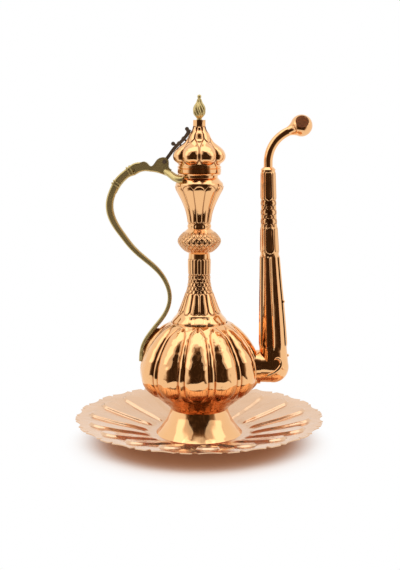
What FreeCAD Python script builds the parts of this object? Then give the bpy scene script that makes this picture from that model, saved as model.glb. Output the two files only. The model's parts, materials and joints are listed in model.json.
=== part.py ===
"""Copper ewer with a gadrooned belly, a tall side spout and a hinged lid, on its fluted tray.

Millimetres, +Z up, the pot's axis on Z, the table at Z = 0, spout towards +X, handle towards -X.
"""
import FreeCAD, Part
import math
import os

Vector = FreeCAD.Vector
UP = Vector(0, 0, 1)
TO_SPOUT = Vector(1, 0, 0)
ACROSS = Vector(0, 1, 0)

# Tray
TRAY_RADIUS = 148.0
TRAY_RIM_HEIGHT = 21.0
TRAY_WELL_RADIUS = 60.0
TRAY_SHEET = 1.2
FLUTE_COUNT = 18
FLUTE_RISE = 3.6
FLUTE_END_RADIUS = 134.0
FLUTE_SHARE = 0.66
FLUTE_TURN = -85.5
TOOTH_DEPTH = 6.0
SCALLOP_DEPTH = 4.0

# Stacked pot pieces: height of each, and the radius where two of them meet
COPPER_WALL = 1.6
FOOT_HEIGHT = 29.3
FOOT_BASE_RADIUS = 51.6
FOOT_TOP_RADIUS = 34.0
BELLY_HEIGHT = 104.0
BELLY_RADIUS = 69.6
BELLY_TOP_RADIUS = 34.8
BELLY_LOBES = 12
BELLY_LOBE_RISE = 4.2
BELLY_LOBE_SHARE = 0.78
BELLY_TURN = -92.7
LOWER_NECK_HEIGHT = 82.5
LOWER_NECK_BASE_RADIUS = 33.2
LOWER_NECK_TOP_RADIUS = 12.6
KNOP_HEIGHT = 29.5
KNOP_RADIUS = 25.4
UPPER_NECK_HEIGHT = 45.0
UPPER_NECK_BASE_RADIUS = 13.6
UPPER_NECK_TOP_RADIUS = 27.0
COLLAR_HEIGHT = 18.2
COLLAR_BEAD_RADIUS = 28.3
COLLAR_GROOVE_RADIUS = 22.0
MOUTH_RADIUS = 19.4

# Lid
LID_GAP = 0.3
LID_BAND_HEIGHT = 10.4
LID_BAND_RADIUS = 25.8
LID_BAND_WALL = 1.6
LID_BAND_GROOVE = 0.7
LID_BAND_STEP = 1.2
PLUG_RADIUS = 17.0
PLUG_DEPTH = 3.8
PLUG_RISE = 2.4
PLUG_TAPER = 0.6
DOME_HEIGHT = 47.4
DOME_RADIUS = 28.7
DOME_TOP_RADIUS = 7.6
DOME_LOBES = 8
DOME_LOBE_RISE = 3.6
DOME_LOBE_SHARE = 0.9
DOME_CROWN = 8.0
FERRULE_HEIGHT = 6.8
FERRULE_RADIUS = 7.8
FERRULE_SIDES = 8
FINIAL_HEIGHT = 29.8
FINIAL_RADIUS = 6.6
FINIAL_FLUTES = 10
FINIAL_FLUTE_RISE = 1.0
FINIAL_TWIST = 200.0
FINIAL_FOOT_RADIUS = 3.2
FINIAL_KNOB_RADIUS = 2.4
STUD_RADIUS = 2.4
NUT_HEIGHT = 3.0
NUT_RADIUS = 4.6

# Spout
SPOUT_AXIS_HEIGHT = 80.2
SPOUT_INNER_EDGE = 72.8
STUB_RADIUS = 18.2
STUB_END = 80.0
SPOUT_COLLAR_WALL = 1.9
SPOUT_COLLAR_FACE = 72.6
HEEL_RADIUS = 18.7
HEEL_RISE = 20.0
HEEL_SETBACK = 1.0
HEEL_LAP = 0.2
SPOUT_LENGTH = 216.0
SPOUT_BASE_RADIUS = 16.6
SPOUT_TOP_RADIUS = 8.4
SHOULDER_HEIGHT = 3.0
SHOULDER_FLANGE = 0.8
GOOSENECK_RADIUS = 5.3
GOOSENECK_RUN = 6.0
GOOSENECK_BEND = 39.4
GOOSENECK_TURN = 66.0
BALL_RADIUS = 13.0
BALL_NECK = 17.0
BALL_FLARE_SHARE = 0.62
BALL_FLARE_HOLLOW = 1.0
BALL_HOLE_RADIUS = 7.9
BALL_HOLE_TILT = 27.0
BEAD_RADIUS = 1.9
BEAD_HEIGHTS = (94.0, 159.0)

# Hinge and strap
PIN_X = -40.9
PIN_ABOVE_MOUTH = 16.1
PIN_RADIUS = 1.5
PIN_HEAD_RADIUS = 2.5
PIN_HEAD_HEIGHT = 0.8
PIN_CLEARANCE = 0.05
KNUCKLE_RADIUS = 4.0
STRAP_WIDTH = 6.0
STRAP_THICKNESS = 4.0
SCROLL_RADIUS = 2.4
SCROLL_REACH = 5.0
SCROLL_STEM = 2.8
SCROLL_LEANS = (30.0, 78.0)
RIVET_RADIUS = 1.2
RIVET_LENGTH = 8.0
RIVET_HEAD_RADIUS = 2.1
RIVET_HEAD_HEIGHT = 0.8

# Handle
CHEEK_WIDTH = 3.2
SLOT_CLEARANCE = 0.3
SLOT_BACK = 14.0
HANDLE_BOW = 108.1
HANDLE_GRIP_WIDTH = 10.0
HANDLE_TAIL_WIDTH = 7.0
HANDLE_GRIP_THICKNESS = 8.8
HANDLE_TAIL_THICKNESS = 4.4
HANDLE_TAIL_HEIGHT = 87.4
HANDLE_TAIL_LIFT = 6.5
HANDLE_HEAD_DROP = 5.0
BAR_BEVEL = 0.34
RING_RISE = 0.8
RING_LENGTH = 1.4
RING_SPACING = 3.6
PRONG_RADIUS = 3.9
PRONG_SPREAD = 18.6
PRONG_ROOT_DROP = 11.0
PRONG_ROOT_SPREAD = 2.6
PRONG_GRASP = 3.4
SEAT_CLEARANCE = 0.1

# Levels of the stack, from the table up
foot_z = TRAY_SHEET
belly_z = foot_z + FOOT_HEIGHT
neck_z = belly_z + BELLY_HEIGHT
knop_z = neck_z + LOWER_NECK_HEIGHT
upper_z = knop_z + KNOP_HEIGHT
collar_z = upper_z + UPPER_NECK_HEIGHT
mouth_z = collar_z + COLLAR_HEIGHT
band_z = mouth_z + LID_GAP
dome_z = band_z + LID_BAND_HEIGHT
ferrule_z = dome_z + DOME_HEIGHT
finial_z = ferrule_z + FERRULE_HEIGHT
pin = Vector(PIN_X, 0, mouth_z + PIN_ABOVE_MOUTH)
head_half_width = STRAP_WIDTH / 2 + SLOT_CLEARANCE + CHEEK_WIDTH
band_bore = LID_BAND_RADIUS - LID_BAND_GROOVE - LID_BAND_WALL
plain_lobes = (BELLY_LOBES // 4, 3 * BELLY_LOBES // 4)

# Shares of the height, of the swell between end radii and widest radius, and of the lobes' rise
BELLY_STATIONS = [(0, 0, 0), (0.09, 0.26, 0), (0.15, 0.48, 0.2), (0.23, 0.75, 0.75), (0.33, 0.94, 1),
                  (0.46, 1, 1), (0.62, 0.9, 1), (0.76, 0.69, 0.95), (0.88, 0.42, 0.85),
                  (0.96, 0.18, 0.55), (1, 0, 0.1)]
DOME_STATIONS = [(0, 0, 0), (0.07, 0.36, 0.4), (0.15, 0.83, 0.95), (0.24, 1, 1), (0.34, 0.93, 0.9),
                 (0.45, 0.67, 0.65), (0.56, 0.27, 0.4), (0.68, 0.05, 0.2), (0.82, 0, 0.1), (1, 0, 0)]


def polar(radius, degrees, z):
    """The point at a radius, a bearing from +X and a height."""
    angle = math.radians(degrees)
    return Vector(radius * math.cos(angle), radius * math.sin(angle), z)


def in_plane(points):
    """Points of the pot's middle plane from (x, z) pairs."""
    return [Vector(x, 0, z) for x, z in points]


def curve(points):
    """A smooth edge through the points."""
    spline = Part.BSplineCurve()
    spline.interpolate(points)
    return spline.toShape()


def line(start, end):
    return Part.LineSegment(start, end).toShape()


def bow(start, crest, end):
    """A parabola from start to end whose middle is the crest."""
    arch = Part.BezierCurve()
    arch.setPoles([start, crest * 2 - (start + end) * 0.5, end])
    return arch.toShape()


def outline_face(first, second):
    """The face between two smooth edges that run the same way, closed by straight ends."""
    edges = [curve(first), line(first[-1], second[-1]), curve(second), line(second[0], first[0])]
    return Part.Face(Part.Wire(Part.__sortEdges__(edges)))


def polygon_face(points):
    return Part.Face(Part.makePolygon(points + points[:1]))


def turned(face):
    """The solid that a face of the XZ plane sweeps round the pot's axis."""
    return face.revolve(Vector(0, 0, 0), UP, 360)


def inset(points, wall):
    """An (r, z) outline moved inwards by the wall, its ends kept at their heights."""
    moved = [(points[0][0] - wall, points[0][1])]
    for before, here, after in zip(points, points[1:], points[2:]):
        run = math.hypot(after[0] - before[0], after[1] - before[1])
        moved.append((here[0] - wall * (after[1] - before[1]) / run,
                      here[1] + wall * (after[0] - before[0]) / run))
    moved.append((points[-1][0] - wall, points[-1][1]))
    return moved


def turned_shell(outline, wall):
    """A hollow turned piece, open at both ends, from its outer (r, z) outline."""
    return turned(outline_face(in_plane(outline), in_plane(inset(outline, wall))))


def lobed_ring(z, radius, out, up, count, share, turn, plain=()):
    """A closed ring of lobes that bulge out or up, with strips between them; plain lobes stay flat."""
    pitch = 360 / count
    edges = []
    for index in range(count):
        middle = turn + index * pitch
        start = polar(radius, middle - share * pitch / 2, z)
        end = polar(radius, middle + share * pitch / 2, z)
        following = polar(radius, middle + pitch * (1 - share / 2), z)
        crest = polar(radius, middle, z) if index in plain else polar(radius + out, middle, z + up)
        edges.append(bow(start, crest, end))
        edges.append(bow(end, polar(radius, middle + pitch / 2, z), following))
    return Part.Wire(edges)


def station_outline(stations, base_z, height, base_radius, widest, top_radius):
    """The (r, z) outline of a swelling piece, at its plain strips."""
    outline = []
    for level, swell, _ in stations:
        plain = base_radius + level * (top_radius - base_radius)
        outline.append((plain + swell * (widest - plain), base_z + level * height))
    return outline


def lobed_solid(outline, stations, rise, count, share, turn, plain=()):
    """A solid lobed body lofted through one ring at each station."""
    rings = [lobed_ring(z, radius, rise * station[2], 0, count, share, turn, plain)
             for (radius, z), station in zip(outline, stations)]
    return Part.makeLoft(rings, True, False)


def bar_section(centre, wide, deep):
    """A flat-sided section with bevelled corners, from its two half axes."""
    side = 1 - BAR_BEVEL
    corners = [(1, side), (side, 1), (-side, 1), (-1, side), (-1, -side), (-side, -1), (side, -1), (1, -side)]
    points = [centre + wide * a + deep * b for a, b in corners]
    return Part.makePolygon(points + points[:1])


def bar(points, widths, thicknesses):
    """A flat-sided bar along points of the middle plane."""
    sections = [bar_section(point, ACROSS * (width / 2), normal * (thickness / 2))
                for point, normal, width, thickness in zip(points, normals(points), widths, thicknesses)]
    return Part.makeLoft(sections, True, False)


def bar_rings(point, normal):
    """A pair of raised rings round the bar's grip."""
    along = normal.cross(ACROSS)
    wide = ACROSS * (HANDLE_GRIP_WIDTH / 2 + RING_RISE)
    deep = normal * (HANDLE_GRIP_THICKNESS / 2 + RING_RISE)
    rings = []
    for shift in (-RING_SPACING / 2, RING_SPACING / 2):
        ends = [bar_section(point + along * (shift + side * RING_LENGTH / 2), wide, deep) for side in (-1, 1)]
        rings.append(Part.makeLoft(ends, True, True))
    return rings


def upright_cylinder(radius, bottom, top, x=0.0):
    return Part.makeCylinder(radius, top - bottom, Vector(x, 0, bottom))


def cross_cylinder(radius, half_width, centre):
    """A cylinder along Y, even about the middle plane."""
    return Part.makeCylinder(radius, 2 * half_width, centre - ACROSS * half_width, ACROSS)


def tray_outline():
    """The snipped edge: a tongue between two notches, then a long hollow scallop to the next."""
    pitch = 360 / FLUTE_COUNT
    tongue, notch, point = 0.13 * pitch, 0.18 * pitch, 0.26 * pitch
    notch_radius = TRAY_RADIUS - TOOTH_DEPTH
    edges = []
    for index in range(FLUTE_COUNT):
        middle = FLUTE_TURN + (index + 0.5) * pitch
        corners = [polar(TRAY_RADIUS, middle + tongue, 0), polar(notch_radius, middle + notch, 0),
                   polar(TRAY_RADIUS, middle + point, 0)]
        hollow = polar(TRAY_RADIUS - SCALLOP_DEPTH, middle + pitch / 2, 0)
        ending = [polar(TRAY_RADIUS, middle + pitch - point, 0),
                  polar(notch_radius, middle + pitch - notch, 0),
                  polar(TRAY_RADIUS, middle + pitch - tongue, 0)]
        edges.append(Part.Arc(polar(TRAY_RADIUS, middle - tongue, 0), polar(TRAY_RADIUS, middle, 0),
                              corners[0]).toShape())
        edges += [line(a, b) for a, b in zip(corners, corners[1:])]
        edges.append(Part.Arc(corners[-1], hollow, ending[0]).toShape())
        edges += [line(a, b) for a, b in zip(ending, ending[1:])]
    return Part.Wire(edges)


def make_tray():
    """An embossed sheet: both faces follow the flutes, and the edge is snipped to the outline."""
    flute_run = FLUTE_END_RADIUS - TRAY_WELL_RADIUS
    slope = (TRAY_RIM_HEIGHT - TRAY_SHEET) / (TRAY_RADIUS - TRAY_WELL_RADIUS)
    stations = [(0, 0), (0.12, 0.12), (0.35, 0.6), (0.6, 0.9), (0.8, 1), (0.93, 0.75), (1, 0)]
    rings = {}
    for lift in (0, TRAY_SHEET):
        rings[lift] = []
        for run, rise in stations:
            radius = TRAY_WELL_RADIUS + run * flute_run
            level = lift + slope * run * flute_run
            rings[lift].append(lobed_ring(level, radius, 0, rise * FLUTE_RISE,
                                          FLUTE_COUNT, FLUTE_SHARE, FLUTE_TURN))
        blank_radius = TRAY_RADIUS + TRAY_SHEET
        rings[lift].append(lobed_ring(lift + slope * (blank_radius - TRAY_WELL_RADIUS), blank_radius,
                                      0, 0, FLUTE_COUNT, FLUTE_SHARE, FLUTE_TURN))
    faces = []
    for lift in rings:
        flutes = rings[lift][:-1]
        faces += Part.makeLoft(flutes, False, False).Faces
        faces += Part.makeLoft(rings[lift][-2:], False, True).Faces
        faces.append(Part.Face(rings[lift][0]))
    faces += Part.makeLoft([rings[lift][-1] for lift in rings], False, True).Faces
    shell = Part.Shell(faces)
    shell.sewShape()
    blank = Part.Solid(shell)
    trim = Part.Face(tray_outline()).extrude(UP * (TRAY_RIM_HEIGHT + 2 * FLUTE_RISE))
    return blank.common(trim)


def make_foot():
    return turned_shell([(FOOT_BASE_RADIUS, foot_z),
                         (FOOT_TOP_RADIUS + 0.52 * (FOOT_BASE_RADIUS - FOOT_TOP_RADIUS),
                          foot_z + 0.34 * FOOT_HEIGHT),
                         (FOOT_TOP_RADIUS + 0.17 * (FOOT_BASE_RADIUS - FOOT_TOP_RADIUS),
                          foot_z + 0.7 * FOOT_HEIGHT),
                         (FOOT_TOP_RADIUS, belly_z)], COPPER_WALL)


def belly_outline():
    return station_outline(BELLY_STATIONS, belly_z, BELLY_HEIGHT, FOOT_TOP_RADIUS, BELLY_RADIUS,
                           BELLY_TOP_RADIUS)


def make_belly_form():
    """The belly's outer form as a solid, a lobe towards the front, plain at spout and handle."""
    return lobed_solid(belly_outline(), BELLY_STATIONS, BELLY_LOBE_RISE, BELLY_LOBES,
                       BELLY_LOBE_SHARE, BELLY_TURN, plain_lobes)


def make_belly_hollow():
    """The space inside the belly: the sheet's inner face, from the closed floor to the neck."""
    floor_z = belly_z + COPPER_WALL
    inner = list(zip(inset(belly_outline(), COPPER_WALL), BELLY_STATIONS))[1:-1]
    floor = ((strip_radius(floor_z) - COPPER_WALL, floor_z), BELLY_STATIONS[0])
    mouth = ((LOWER_NECK_BASE_RADIUS - COPPER_WALL, neck_z), BELLY_STATIONS[0])
    outline, stations = zip(floor, *inner, mouth)
    return lobed_solid(outline, stations, BELLY_LOBE_RISE, BELLY_LOBES, BELLY_LOBE_SHARE, BELLY_TURN,
                       plain_lobes)


def make_lower_neck():
    reach = LOWER_NECK_BASE_RADIUS - LOWER_NECK_TOP_RADIUS
    shape = [(0, 1), (0.16, 0.59), (0.3, 0.36), (0.45, 0.15), (0.58, 0.04), (0.75, 0.02), (1, 0)]
    return turned_shell([(LOWER_NECK_TOP_RADIUS + share * reach, neck_z + level * LOWER_NECK_HEIGHT)
                         for level, share in shape], COPPER_WALL)


def make_neck_knop():
    shape = [(0, 0), (0.16, 0.5), (0.33, 0.84), (0.5, 1), (0.67, 0.84), (0.84, 0.46), (1, 0)]
    outline = []
    for level, swell in shape:
        plain = LOWER_NECK_TOP_RADIUS + level * (UPPER_NECK_BASE_RADIUS - LOWER_NECK_TOP_RADIUS)
        outline.append((plain + swell * (KNOP_RADIUS - plain), knop_z + level * KNOP_HEIGHT))
    return turned_shell(outline, COPPER_WALL)


def make_upper_neck():
    reach = UPPER_NECK_TOP_RADIUS - UPPER_NECK_BASE_RADIUS
    shape = [(0, 0), (0.2, 0.01), (0.47, 0.19), (0.74, 0.55), (1, 1)]
    return turned_shell([(UPPER_NECK_BASE_RADIUS + share * reach, upper_z + level * UPPER_NECK_HEIGHT)
                         for level, share in shape], COPPER_WALL)


def collar_slope():
    """Top of the collar's bead, foot of its groove, and the groove's upper end, as (r, z)."""
    return [(COLLAR_BEAD_RADIUS - 0.5, collar_z + 0.5 * COLLAR_HEIGHT),
            (COLLAR_GROOVE_RADIUS, collar_z + 0.84 * COLLAR_HEIGHT),
            (COLLAR_GROOVE_RADIUS, mouth_z)]


def make_mouth_collar():
    bead, groove, rim = collar_slope()
    inner_foot = UPPER_NECK_TOP_RADIUS - COPPER_WALL
    bead_points = in_plane([(UPPER_NECK_TOP_RADIUS, collar_z),
                            (COLLAR_BEAD_RADIUS, collar_z + 0.28 * COLLAR_HEIGHT), bead])
    corners = in_plane([bead, groove, rim, (MOUTH_RADIUS, mouth_z),
                        (MOUTH_RADIUS, collar_z + 0.7 * COLLAR_HEIGHT), (inner_foot, collar_z),
                        (UPPER_NECK_TOP_RADIUS, collar_z)])
    edges = [Part.Arc(*bead_points).toShape()]
    edges += [line(a, b) for a, b in zip(corners, corners[1:])]
    return turned(Part.Face(Part.Wire(edges)))


def make_lid_band():
    """A band with two turned grooves."""
    outer = LID_BAND_RADIUS
    points = [(band_bore, dome_z), (band_bore, band_z), (outer - LID_BAND_STEP, band_z)]
    for level in (0.23, 0.75):
        middle = band_z + level * LID_BAND_HEIGHT
        points += [(outer, middle - LID_BAND_GROOVE), (outer - LID_BAND_GROOVE, middle),
                   (outer, middle + LID_BAND_GROOVE)]
    points.append((outer, dome_z))
    return turned(polygon_face(in_plane(points)))


def make_lid_plug():
    """A flanged collar seated inside the band, its tube hanging into the mouth."""
    inner = PLUG_RADIUS - COPPER_WALL
    flange_z = band_z + PLUG_RISE
    points = [(inner, band_z - PLUG_DEPTH), (PLUG_RADIUS - PLUG_TAPER, band_z - PLUG_DEPTH),
              (PLUG_RADIUS, band_z), (PLUG_RADIUS, flange_z - COPPER_WALL),
              (band_bore, flange_z - COPPER_WALL), (band_bore, flange_z), (inner, flange_z)]
    return turned(polygon_face(in_plane(points)))


def dome_outline():
    return station_outline(DOME_STATIONS, dome_z, DOME_HEIGHT, LID_BAND_RADIUS - LID_BAND_STEP,
                           DOME_RADIUS, DOME_TOP_RADIUS)


def make_dome_form():
    """The onion dome's outer form as a solid, a cleft towards the front and the hinge."""
    return lobed_solid(dome_outline(), DOME_STATIONS, DOME_LOBE_RISE, DOME_LOBES, DOME_LOBE_SHARE,
                       -90 + 180 / DOME_LOBES)


def make_dome_hollow():
    """The space inside the dome, below its solid crown."""
    crown_z = ferrule_z - DOME_CROWN
    wall = [point for point in inset(dome_outline(), COPPER_WALL) if point[1] < crown_z - DOME_CROWN]
    side = in_plane(wall + [(DOME_TOP_RADIUS - COPPER_WALL, crown_z)])
    axis_bottom = Vector(0, 0, dome_z)
    axis_top = Vector(0, 0, crown_z)
    edges = [curve(side), line(side[-1], axis_top), line(axis_top, axis_bottom),
             line(axis_bottom, side[0])]
    return turned(Part.Face(Part.Wire(edges)))


def make_ferrule():
    """An eight-sided drum with a bored middle for the finial's stud."""
    corners = [polar(FERRULE_RADIUS, (side + 0.5) * 360 / FERRULE_SIDES, ferrule_z)
               for side in range(FERRULE_SIDES)]
    drum = polygon_face(corners).extrude(UP * FERRULE_HEIGHT)
    return drum.cut(upright_cylinder(STUD_RADIUS, ferrule_z, finial_z))


def spiral_ring(z, radius, rise, turn):
    """A closed ring of equal flutes that meet at sharp valleys."""
    pitch = 360 / FINIAL_FLUTES
    edges = []
    for index in range(FINIAL_FLUTES):
        start = turn + index * pitch
        edges.append(bow(polar(radius, start, z), polar(radius + rise, start + pitch / 2, z),
                         polar(radius, start + pitch, z)))
    return Part.Wire(edges)


def make_finial():
    """A flame of spiral flutes between a plain foot and a small knob, with its stud below."""
    stations = [(0.04, 0.42, 0.2), (0.12, 0.58, 0.5), (0.24, 0.9, 1), (0.36, 1, 1), (0.48, 0.94, 1),
                (0.6, 0.72, 0.8), (0.72, 0.46, 0.5), (0.86, 0.2, 0.2)]
    rings = [spiral_ring(finial_z + level * FINIAL_HEIGHT, width * FINIAL_RADIUS,
                         rise * FINIAL_FLUTE_RISE, level * FINIAL_TWIST)
             for level, width, rise in stations]
    flame = Part.makeLoft(rings, True, False)
    foot_top = finial_z + stations[0][0] * FINIAL_HEIGHT
    stud = upright_cylinder(STUD_RADIUS, ferrule_z - DOME_CROWN - NUT_HEIGHT, foot_top)
    foot = upright_cylinder(FINIAL_FOOT_RADIUS, finial_z, foot_top)
    knob = Part.makeSphere(FINIAL_KNOB_RADIUS, Vector(0, 0, finial_z + FINIAL_HEIGHT - FINIAL_KNOB_RADIUS))
    return flame.fuse([foot, stud, knob])


def make_finial_nut():
    top = ferrule_z - DOME_CROWN
    corners = [polar(NUT_RADIUS, 60 * side, top - NUT_HEIGHT) for side in range(6)]
    nut = polygon_face(corners).extrude(UP * NUT_HEIGHT)
    return nut.cut(upright_cylinder(STUD_RADIUS, top - NUT_HEIGHT, top))


def spout_centre(radius):
    """The spout's middle where it has this radius: its inner edge stands upright."""
    return SPOUT_INNER_EDGE + radius


heel_centre = Vector(spout_centre(SPOUT_BASE_RADIUS) - HEEL_SETBACK, 0, SPOUT_AXIS_HEIGHT)
heel_top_z = SPOUT_AXIS_HEIGHT + HEEL_RISE
shoulder_z = heel_top_z + SPOUT_LENGTH
spout_top_x = spout_centre(SPOUT_TOP_RADIUS)


def heel_form(wall):
    """Ball, level tube and upright cone of the heel, drawn in by the wall."""
    ball = Part.makeSphere(HEEL_RADIUS - wall, heel_centre)
    level = Part.makeCylinder(STUB_RADIUS + HEEL_LAP - wall, heel_centre.x - STUB_END,
                              Vector(STUB_END, 0, SPOUT_AXIS_HEIGHT), TO_SPOUT)
    rising = Part.makeCone(HEEL_RADIUS - HEEL_LAP - wall, SPOUT_BASE_RADIUS - wall, HEEL_RISE,
                           heel_centre)
    return ball.fuse([level, rising]).removeSplitter()


def spout_form(wall):
    """The tall tapering tube, through level circles that share a nearly upright inner edge."""
    span = SPOUT_BASE_RADIUS - SPOUT_TOP_RADIUS
    sections = []
    for level, share in [(0, 1), (0.12, 0.88), (0.25, 0.72), (0.4, 0.5), (0.55, 0.31), (0.75, 0.12), (1, 0)]:
        radius = SPOUT_TOP_RADIUS + share * span
        centre = Vector(spout_centre(radius) - HEEL_SETBACK * share, 0, heel_top_z + level * SPOUT_LENGTH)
        sections.append(Part.Wire(Part.Circle(centre, UP, radius - wall).toShape()))
    return Part.makeLoft(sections, True, True)


def make_passage():
    """The bore that leads from the belly through stub and heel to the spout's top."""
    level = Part.makeCylinder(STUB_RADIUS - COPPER_WALL, heel_centre.x - BELLY_RADIUS / 2,
                              Vector(BELLY_RADIUS / 2, 0, SPOUT_AXIS_HEIGHT), TO_SPOUT)
    return [level, heel_form(COPPER_WALL), spout_form(COPPER_WALL)]


def make_spout_stub(belly_form, heel):
    root = 0.8 * BELLY_RADIUS
    tube = Part.makeCylinder(STUB_RADIUS, STUB_END - root, Vector(root, 0, SPOUT_AXIS_HEIGHT), TO_SPOUT)
    return tube.cut([belly_form, heel])


def make_spout_collar(belly_form, heel, spout):
    root = 0.8 * BELLY_RADIUS
    start = Vector(root, 0, SPOUT_AXIS_HEIGHT)
    ring = Part.makeCylinder(STUB_RADIUS + SPOUT_COLLAR_WALL, SPOUT_COLLAR_FACE - root, start, TO_SPOUT)
    tube = Part.makeCylinder(STUB_RADIUS, SPOUT_COLLAR_FACE - root, start, TO_SPOUT)
    return ring.cut([tube, belly_form, heel, spout])


def make_spout_shoulder():
    """A ring that closes the spout's top down to the gooseneck's bore."""
    base = Vector(spout_top_x, 0, shoulder_z)
    ring = Part.makeCone(SPOUT_TOP_RADIUS + SHOULDER_FLANGE, GOOSENECK_RADIUS + SHOULDER_FLANGE,
                         SHOULDER_HEIGHT, base)
    bore = Part.makeCylinder(GOOSENECK_RADIUS - COPPER_WALL, SHOULDER_HEIGHT, base)
    return ring.cut(bore)


gooseneck_base = Vector(spout_top_x, 0, shoulder_z + SHOULDER_HEIGHT)
bend_start = gooseneck_base + UP * GOOSENECK_RUN
bend_axis = bend_start + TO_SPOUT * GOOSENECK_BEND
turn = math.radians(GOOSENECK_TURN)
mouth_direction = Vector(math.sin(turn), 0, math.cos(turn))
gooseneck_end = bend_axis + Vector(-math.cos(turn), 0, math.sin(turn)) * GOOSENECK_BEND
ball_centre = gooseneck_end + mouth_direction * BALL_NECK


def gooseneck_form(radius):
    """A straight run and one bend of round rod."""
    disc = Part.Face(Part.Wire(Part.Circle(bend_start, UP, radius).toShape()))
    bent = disc.revolve(bend_axis, ACROSS, GOOSENECK_TURN)
    return bent.fuse(Part.makeCylinder(radius, GOOSENECK_RUN, gooseneck_base))


def make_gooseneck():
    return gooseneck_form(GOOSENECK_RADIUS).cut(gooseneck_form(GOOSENECK_RADIUS - COPPER_WALL))


def make_spout_mouth():
    """A hollow ball drawn out to the gooseneck, with its pouring hole towards the front and up."""
    flare = -BALL_FLARE_SHARE * BALL_RADIUS
    flare_radius = math.sqrt(BALL_RADIUS ** 2 - flare ** 2)
    blend = [Vector(GOOSENECK_RADIUS, 0, -BALL_NECK),
             Vector(0.5 * (GOOSENECK_RADIUS + flare_radius) - BALL_FLARE_HOLLOW, 0,
                    0.5 * (flare - BALL_NECK)),
             Vector(flare_radius, 0, flare)]
    tip = Vector(0, 0, BALL_RADIUS)
    foot = Vector(0, 0, -BALL_NECK)
    edges = [Part.Arc(*blend).toShape(),
             Part.Arc(blend[-1], Vector(BALL_RADIUS, 0, 0), tip).toShape(),
             line(tip, foot), line(foot, blend[0])]
    drop = turned(Part.Face(Part.Wire(edges)))
    bore = upright_cylinder(GOOSENECK_RADIUS - COPPER_WALL, -BALL_NECK, 0)
    drop = drop.cut([Part.makeSphere(BALL_RADIUS - COPPER_WALL), bore])
    drop.Placement = FreeCAD.Placement(ball_centre, FreeCAD.Rotation(UP, mouth_direction))
    tilt = math.radians(BALL_HOLE_TILT)
    hole_axis = Vector(0, -math.cos(tilt), math.sin(tilt))
    return drop.cut(Part.makeCylinder(BALL_HOLE_RADIUS, 2 * BALL_RADIUS, ball_centre, hole_axis))


def make_spout_beads(heel, spout):
    """Two domed studs on the spout's outer face."""
    beads = []
    for height in BEAD_HEIGHTS:
        ray = line(Vector(SPOUT_INNER_EDGE + SPOUT_BASE_RADIUS, 0, height),
                   Vector(2 * BELLY_RADIUS, 0, height))
        surface = spout if height > heel_top_z else heel
        outer_x = ray.cut(surface).BoundBox.XMin
        beads.append(Part.makeSphere(BEAD_RADIUS, Vector(outer_x, 0, height)).cut([heel, spout]))
    return Part.makeCompound(beads)


def strap_line():
    """Middle points of the strap from the pin up over the dome, each with its outward normal."""
    rests = [Vector(-radius - share * STRAP_THICKNESS, 0, z)
             for (radius, z), share in zip(dome_outline()[5:], (1.1, 1.25, 1.1, 0.7, 0.45))]
    rests[-1] = (rests[-2] + rests[-1]) * 0.5
    points = [pin + (rests[0] - pin) * share for share in (0, 0.35, 0.7)] + rests
    return list(zip(points, normals(points)))


def normals(points):
    """Unit normals, in the middle plane, of a line through the points."""
    found = []
    for index in range(len(points)):
        ahead = points[min(index + 1, len(points) - 1)] - points[max(index - 1, 0)]
        found.append(ahead.cross(ACROSS).normalize())
    return found


def across_solid(face, width):
    """A face of the middle plane thickened evenly to both sides."""
    return face.translated(ACROSS * (-width / 2)).extrude(ACROSS * width)


def make_rivets():
    """Shanks and heads of two rivets through the strap into the dome."""
    shanks, heads = [], []
    for point, normal in strap_line()[4:6]:
        outside = point + normal * (STRAP_THICKNESS / 2)
        shanks.append(Part.makeCylinder(RIVET_RADIUS, RIVET_LENGTH, outside, normal * -1))
        heads.append(Part.makeCone(RIVET_HEAD_RADIUS, RIVET_RADIUS, RIVET_HEAD_HEIGHT, outside, normal))
    return shanks, heads


def make_strap(dome_form, shanks):
    """A curved strap from the hinge knuckle up over the dome, with two scroll knobs."""
    half = STRAP_THICKNESS / 2
    centre = strap_line()
    outline = outline_face([point + normal * half for point, normal in centre],
                           [point - normal * half for point, normal in centre])
    pieces = [cross_cylinder(KNUCKLE_RADIUS, STRAP_WIDTH / 2, pin)]
    feet = [(centre[3][0] + centre[4][0]) * 0.5, centre[6][0]]
    for foot, lean in zip(feet, SCROLL_LEANS):
        angle = math.radians(lean)
        reach = Vector(-math.cos(angle), 0, math.sin(angle))
        knob = foot + reach * SCROLL_REACH
        side = reach.cross(ACROSS) * (SCROLL_STEM / 2)
        stem = polygon_face([foot + side, knob + side, knob - side, foot - side])
        pieces.append(across_solid(stem, STRAP_WIDTH))
        pieces.append(cross_cylinder(SCROLL_RADIUS, STRAP_WIDTH / 2, knob))
    strap = across_solid(outline, STRAP_WIDTH).fuse(pieces).removeSplitter()
    bore = cross_cylinder(PIN_RADIUS + PIN_CLEARANCE, STRAP_WIDTH, pin)
    return strap.cut([bore, dome_form] + shanks)


def strip_radius(z):
    """The belly's radius at its plain strips, at a height."""
    outline = belly_outline()
    for (low_r, low_z), (high_r, high_z) in zip(outline, outline[1:]):
        if low_z <= z <= high_z:
            return low_r + (high_r - low_r) * (z - low_z) / (high_z - low_z)
    return outline[0][0]


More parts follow.
